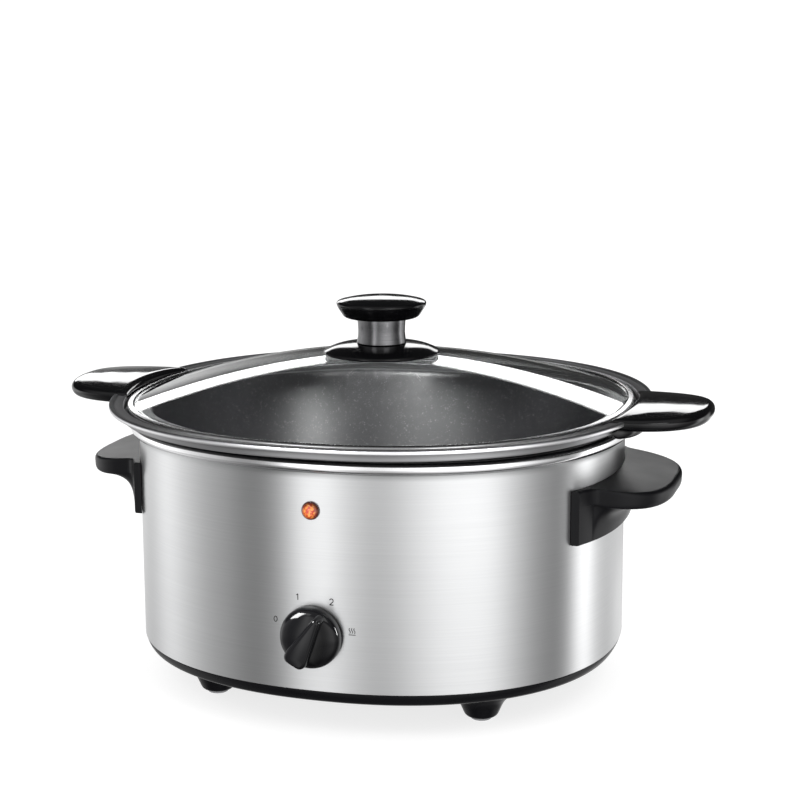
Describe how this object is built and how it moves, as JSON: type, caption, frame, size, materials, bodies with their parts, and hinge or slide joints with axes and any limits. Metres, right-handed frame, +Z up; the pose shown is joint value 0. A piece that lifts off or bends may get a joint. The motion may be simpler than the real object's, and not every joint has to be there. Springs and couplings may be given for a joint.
{
  "type": "slow cooker",
  "caption": "Oval brushed steel slow cooker with a turning control knob, side handles, a lift-out handled searing pot and a domed glass lid with a pillar knob.",
  "frame": {"origin": "centre of the oval in plan, on the plane of the feet's undersides", "axes": "+X along the long axis, from the left pot handle to the right one; -Y out of the front wall that carries the control knob; +Z up"},
  "size_m": [0.394, 0.3104, 0.2289],
  "materials": {
    "wall_steel": "brushed, satin",
    "rim_steel": "polished",
    "neck_steel": "smoky satin",
    "non_stick": "speckled non-stick coating on cast metal",
    "well_aluminium": "satin",
    "band_mica": "mica wrapped heating band",
    "base_plastic": "satin black",
    "side_handle_plastic": "satin black",
    "pot_handle_plastic": "gloss black",
    "knob_plastic": "gloss black",
    "electrical_plastic": "matte off-white",
    "foot_rubber": "matte grey",
    "fixings": "plated",
    "amber_lens": "translucent amber",
    "lid_glass": "clear toughened glass"
  },
  "bodies": {
    "housing": {"outer_shell": "wall_steel", "base_tray": "base_plastic", "tie_rod": "fixings", "tie_nut": "fixings", "foot_pad_front_left": "foot_rubber", "foot_pad_front_right": "foot_rubber", "foot_pad_rear_left": "foot_rubber", "foot_pad_rear_right": "foot_rubber", "side_handle_left": "side_handle_plastic", "side_handle_right": "side_handle_plastic", "handle_screw_left_front": "fixings", "handle_screw_left_rear": "fixings", "handle_screw_right_front": "fixings", "handle_screw_right_rear": "fixings", "heating_well": "well_aluminium", "heating_band": "band_mica", "thermostat": "fixings", "thermal_fuse": "electrical_plastic", "rotary_switch": "electrical_plastic", "terminal_block": "electrical_plastic", "cord_gland": "base_plastic", "gland_nut": "base_plastic", "indicator_lens": "amber_lens", "lamp_holder": "electrical_plastic"},
    "dial": {"control_knob": "knob_plastic", "switch_shaft": "fixings"},
    "searing_pot": {"pot": "non_stick", "pot_handle_left": "pot_handle_plastic", "pot_handle_right": "pot_handle_plastic", "pot_handle_screw_left": "fixings", "pot_handle_screw_right": "fixings"},
    "lid": {"lid_glass": "lid_glass", "lid_rim": "rim_steel", "lid_knob_washer": "rim_steel", "lid_knob_base": "knob_plastic", "lid_knob_neck": "neck_steel", "lid_knob_cap": "knob_plastic", "lid_knob_screw": "fixings"}
  },
  "joints": [
    {"name": "dial_turn", "type": "hinge", "parent": "housing", "child": "dial", "pos_m": [0, -0.1313, 0.0595], "axis": [0, 1, 0], "range_deg": [-100, 50]},
    {"name": "pot_lift", "type": "slide", "parent": "housing", "child": "searing_pot", "axis": [0, 0, 1], "range_m": [0, 0.14]},
    {"name": "lid_lift", "type": "slide", "parent": "searing_pot", "child": "lid", "axis": [0, 0, 1], "range_m": [0, 0.1]}
  ]
}
